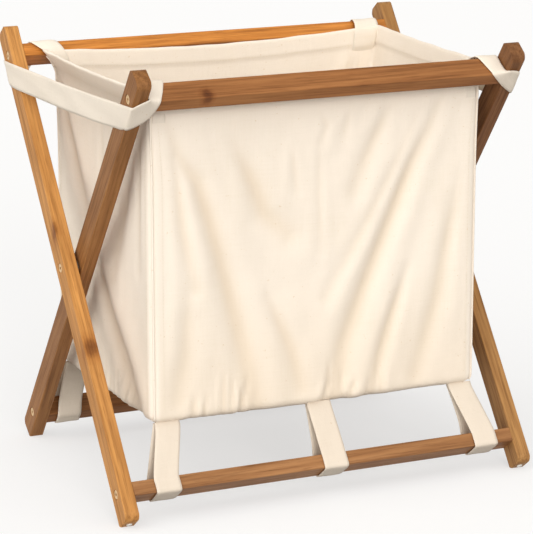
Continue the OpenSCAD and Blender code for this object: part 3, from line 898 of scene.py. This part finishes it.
TAB_BACK_LEFT = [
    (plain(-223, 170.6, 548), plain(-240, 170.6, 549)),
    (plain(-224, 170.6, 560), plain(-243.5, 170.6, 560)),
    (plain(-228, 171.2, 571), plain(-251.5, 171.4, 569)),
    (plain(-232, 175.5, 579), plain(-261, 176.5, 576.5)),
    (plain(-236, 182.5, 584.6), plain(-269, 183.5, 582.5)),
    (top_point(-239, 341.4, -16.5, 1), top_point(-276, 341.0, -16.9, 1)),
    (top_point(-239.5, 341.6, 0, 1), top_point(-276.5, 341.8, 0, 1)),
    (top_point(-240, 341.5, 13, 1), top_point(-277, 341.7, 13, 1)),
]
TAB_BACK_RIGHT = [
    (plain(-223.5, 170.6, 549), plain(-260.5, 170.6, 551)),
    (plain(-224.5, 170.6, 562), plain(-262.5, 170.4, 563)),
    (plain(-227, 171.8, 573), plain(-265, 171.8, 573.5)),
    (plain(-229, 175.9, 580.3), plain(-267, 176.0, 580.3)),
    (plain(-230, 182, 585.5), plain(-267.5, 182, 585.8)),
    (top_point(-231, 341.4, -16.5, 1), top_point(-268, 341.6, -16.5, 1)),
    (top_point(-233, 341.6, 0, 1), top_point(-270, 341.8, 0, 1)),
    (top_point(-236, 341.5, 13, 1), top_point(-273, 341.7, 13, 1)),
]
MIDDLE = [
    (plain(-294.8, -20, 523.0), plain(-294.4, -20, 557.4)),
    (plain(-288.5, -95, 522.8), plain(-288.0, -98, 557.2)),
    (plain(-284.0, -150, 523.8), plain(-283.6, -160, 557.8)),
]
FRONT_LEFT = (MIDDLE + [
    (plain(-283.4, -176, 524.8), plain(-283.4, -196, 558.8)),
    (top_point(-283.0, 291.0, 15.5, -1), top_point(-283.0, 331.8, 15.8, -1)),
    (top_point(-280, 291.5, 18.4, -1), top_point(-281, 333.5, 18.4, -1)),
    (top_point(-268, 298, 18.4, -1), top_point(-273, 339.5, 18.6, -1)),
    (top_point(-256, 309, 18.4, -1), top_point(-265, 344.5, 18.8, -1)),
    (top_point(-248, 324, 18.0, -1), top_point(-261.2, 346.5, 18.2, -1)),
    (top_point(-244.2, 338.0, 17.6, -1), top_point(-260.6, 344.0, 15.5, -1)),
    (top_point(-242.5, 341.6, 14, -1), top_point(-260.4, 342.5, 11, -1)),
], [
    (top_point(-242.5, 341.6, 14, -1), top_point(-260.4, 342.5, 11, -1)),
    (top_point(-236, 341.8, 0, -1), top_point(-260.2, 342.0, 0, -1)),
    (top_point(-230, 341.6, -16.3, -1), top_point(-260.0, 341.8, -16.3, -1)),
    (plain(-227.5, -182, 585.6), plain(-258.5, -182, 585.8)),
    (plain(-225, -175.5, 581), plain(-254, -175.6, 580)),
    (plain(-223, -172.2, 574), plain(-243, -172.2, 573)),
    (plain(-222, -171.0, 562), plain(-240, -171.0, 562)),
    (plain(-221, -170.6, 549), plain(-239.5, -170.6, 549)),
])
FRONT_RIGHT = (MIDDLE + [
    (plain(-284.2, -180, 530.5), plain(-284.2, -198, 561.5)),
    (top_point(-283.6, 299.0, 15.0, -1), top_point(-283.6, 337.0, 15.0, -1)),
    (top_point(-280.5, 303.0, 18.3, -1), top_point(-279, 344.5, 18.3, -1)),
    (top_point(-271, 310.8, 18.3, -1), top_point(-270, 347.2, 18.4, -1)),
    (top_point(-262, 318.4, 18.2, -1), top_point(-265.5, 347.6, 18.4, -1)),
    (top_point(-249, 331.8, 18.0, -1), top_point(-262.5, 346.6, 17.0, -1)),
    (top_point(-241.5, 340.0, 17.2, -1), top_point(-261.2, 344.2, 14.5, -1)),
    (top_point(-239.8, 341.8, 13, -1), top_point(-260.8, 342.8, 10, -1)),
], [
    (top_point(-239.8, 341.8, 13, -1), top_point(-260.8, 342.8, 10, -1)),
    (top_point(-236.5, 341.8, 1, -1), top_point(-260.6, 342.2, 0, -1)),
    (top_point(-231, 341.6, -16.3, -1), top_point(-260.4, 341.8, -16.3, -1)),
    (plain(-228.5, -182, 585.6), plain(-259.5, -182, 585.8)),
    (plain(-226, -175.5, 582), plain(-251, -175.6, 582)),
    (plain(-224, -172.2, 576), plain(-242, -172.2, 576)),
    (plain(-223, -171.0, 562), plain(-240, -171.0, 562)),
    (plain(-222, -170.6, 549), plain(-239.5, -170.6, 549)),
])
strap("left", 1, TAB_BACK_LEFT, FRONT_LEFT)
strap("right", -1, TAB_BACK_RIGHT, FRONT_RIGHT)


# ---------------------------------------------------------------- loops under the bag

LOOP_HALF = 18.0     # half the loops' width in mm


def rail_loop(name, node, side, top_x, low_x, body):
    """Loop from the bottom seam, round a bottom rail and back; top_x and low_x are its centre in mm."""
    half = LOOP_HALF
    path = [
        (0.0, (side * 166.2, 121.2)), (0.0, (side * 169.8, 115.8)), (0.15, (side * 176.5, 106.0)),
        (0.45, (side * 187.0, 90.0)), (0.80, (side * 199.0, 71.0)),
    ]
    low = [(321.0, 17.6), (330.0, 17.9), (339.5, 17.6), (341.6, 14.0), (341.9, 0.0), (341.6, -14.0),
           (339.5, -17.5), (330.0, -17.9), (321.0, -17.6)]
    tail = [(0.80, (side * 177.6, 62.0)), (0.40, (side * 170.0, 92.0)), (0.05, (side * 163.0, 115.0)),
            (0.0, (side * 161.5, 119.8))]
    edges = []

    def slanted(run):
        for share, (y, z) in run:
            x = top_x + (low_x - top_x) * share
            edges.append((plain(x - half, y, z), plain(x + half, y, z)))

    slanted(path)
    for s, n in low:
        edges.append((low_point(low_x - half, s, n, side), low_point(low_x + half, s, n, side)))
    slanted(tail)
    loop = ribbon(name, edges, ripple=0.2 * MM, seed=int(abs(top_x)), material=SHADED_LOOP_WEBBING)
    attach(loop, body)
    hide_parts(node)
    for run, part in (("out", edges[:len(path)]), ("in", edges[-len(tail):])):
        inner_run = ribbon(f"{name}_{run}", narrowed(part), thick=INNER_THICK, material=SHADED_LOOP_WEBBING)
        on_bag(inner_run)


for row, side, body, places in (
    ("front", -1, "outer_frame", ((-219, -237), (6, 10), (226, 243))),
    ("back", 1, "inner_frame", ((-222, -231), (2, 5), (222, 230))),
):
    for where, (top_x, low_x) in zip(("left", "middle", "right"), places):
        rail_loop(f"loop_{row}_{where}_web", f"loop_{row}_{where}", side, top_x, low_x, body)


# ---------------------------------------------------------------- stage, light and camera

FLOOR_HALF = 30
FLOOR_GREY, FLOOR_GLOW = 0.40, 0.56
SKY_STRENGTH = 1.04
BRIGHT_SKY = (-0.34, -0.46, 0.30)            # the way to the brightest part of the sky
CAMERA_AT = (-1.4542, -3.1809, 1.1383)
CAMERA_DOWN, CAMERA_TURN = 13.877, -24.63    # degrees below level, and round from +Y
CAMERA_LENS, CAMERA_SENSOR = 171.5, 36


def stage():
    """Plain grey floor, soft sky, two wide suns and the camera of the main view."""
    h = FLOOR_HALF
    mesh = bpy.data.meshes.new("floor")
    mesh.from_pydata([(-h, -h, 0), (h, -h, 0), (h, h, 0), (-h, h, 0)], [], [(0, 1, 2, 3)])
    mat, tree, shader = new_material("floor")
    shader.inputs["Base Color"].default_value = (FLOOR_GREY, FLOOR_GREY, FLOOR_GREY, 1)
    shader.inputs["Roughness"].default_value = 0.9
    shader.inputs["Specular IOR Level"].default_value = 0.0
    shader.inputs["Emission Color"].default_value = (1, 1, 1, 1)
    shader.inputs["Emission Strength"].default_value = FLOOR_GLOW
    mesh.materials.append(mat)
    floor = bpy.data.objects.new("floor", mesh)
    bpy.context.scene.collection.objects.link(floor)
    floor.visible_diffuse = False

    world = bpy.data.worlds.new("world")
    bpy.context.scene.world = world
    world.use_nodes = True
    tree = world.node_tree
    back = tree.nodes["Background"]
    coord = add(tree, "ShaderNodeTexCoord").outputs["Generated"]
    toward = add(tree, "ShaderNodeVectorMath", {0: coord, 1: BRIGHT_SKY}, operation="DOT_PRODUCT")
    glow = math_node(tree, "MULTIPLY_ADD", toward.outputs["Value"], 0.5, 0.5)
    sky = ramp(tree, glow, [
        (0.18, (0.44, 0.42, 0.40)), (0.5, (0.62, 0.60, 0.57)), (0.82, (1.16, 1.15, 1.13)),
    ])
    height = add(tree, "ShaderNodeSeparateXYZ", {"Vector": coord}).outputs[2]
    up = math_node(tree, "MULTIPLY_ADD", height, 0.5, 0.5)
    below = ramp(tree, up, [(0.22, (0.28, 0.26, 0.24)), (0.50, (1, 1, 1))])
    sky = multiply(tree, 1.0, sky, below)
    tree.links.new(sky, back.inputs["Color"])
    back.inputs["Strength"].default_value = SKY_STRENGTH

    def sun(name, energy, angle, direction, colour):
        """A sun whose light travels along direction; angle is how wide it is, in degrees."""
        light = bpy.data.lights.new(name, "SUN")
        light.energy, light.angle, light.color = energy, math.radians(angle), colour
        obj = bpy.data.objects.new(name, light)
        obj.rotation_mode = "QUATERNION"
        obj.rotation_quaternion = Vector(direction).to_track_quat("-Z", "Y")
        bpy.context.scene.collection.objects.link(obj)

    sun("key", 1.02, 24, (0.12, 0.93, -0.33), (1.0, 0.985, 0.965))
    sun("side", 1.05, 80, (1.0, 0.30, -0.25), (1.0, 0.98, 0.95))

    data = bpy.data.cameras.new("camera")
    cam = bpy.data.objects.new("camera", data)
    bpy.context.scene.collection.objects.link(cam)
    bpy.context.scene.camera = cam
    data.sensor_width = CAMERA_SENSOR
    data.lens = CAMERA_LENS
    cam.location = CAMERA_AT
    cam.rotation_euler = (math.radians(90 - CAMERA_DOWN), 0, math.radians(CAMERA_TURN))
    data.clip_end = 100
    bpy.context.scene.view_settings.view_transform = "Standard"


stage()
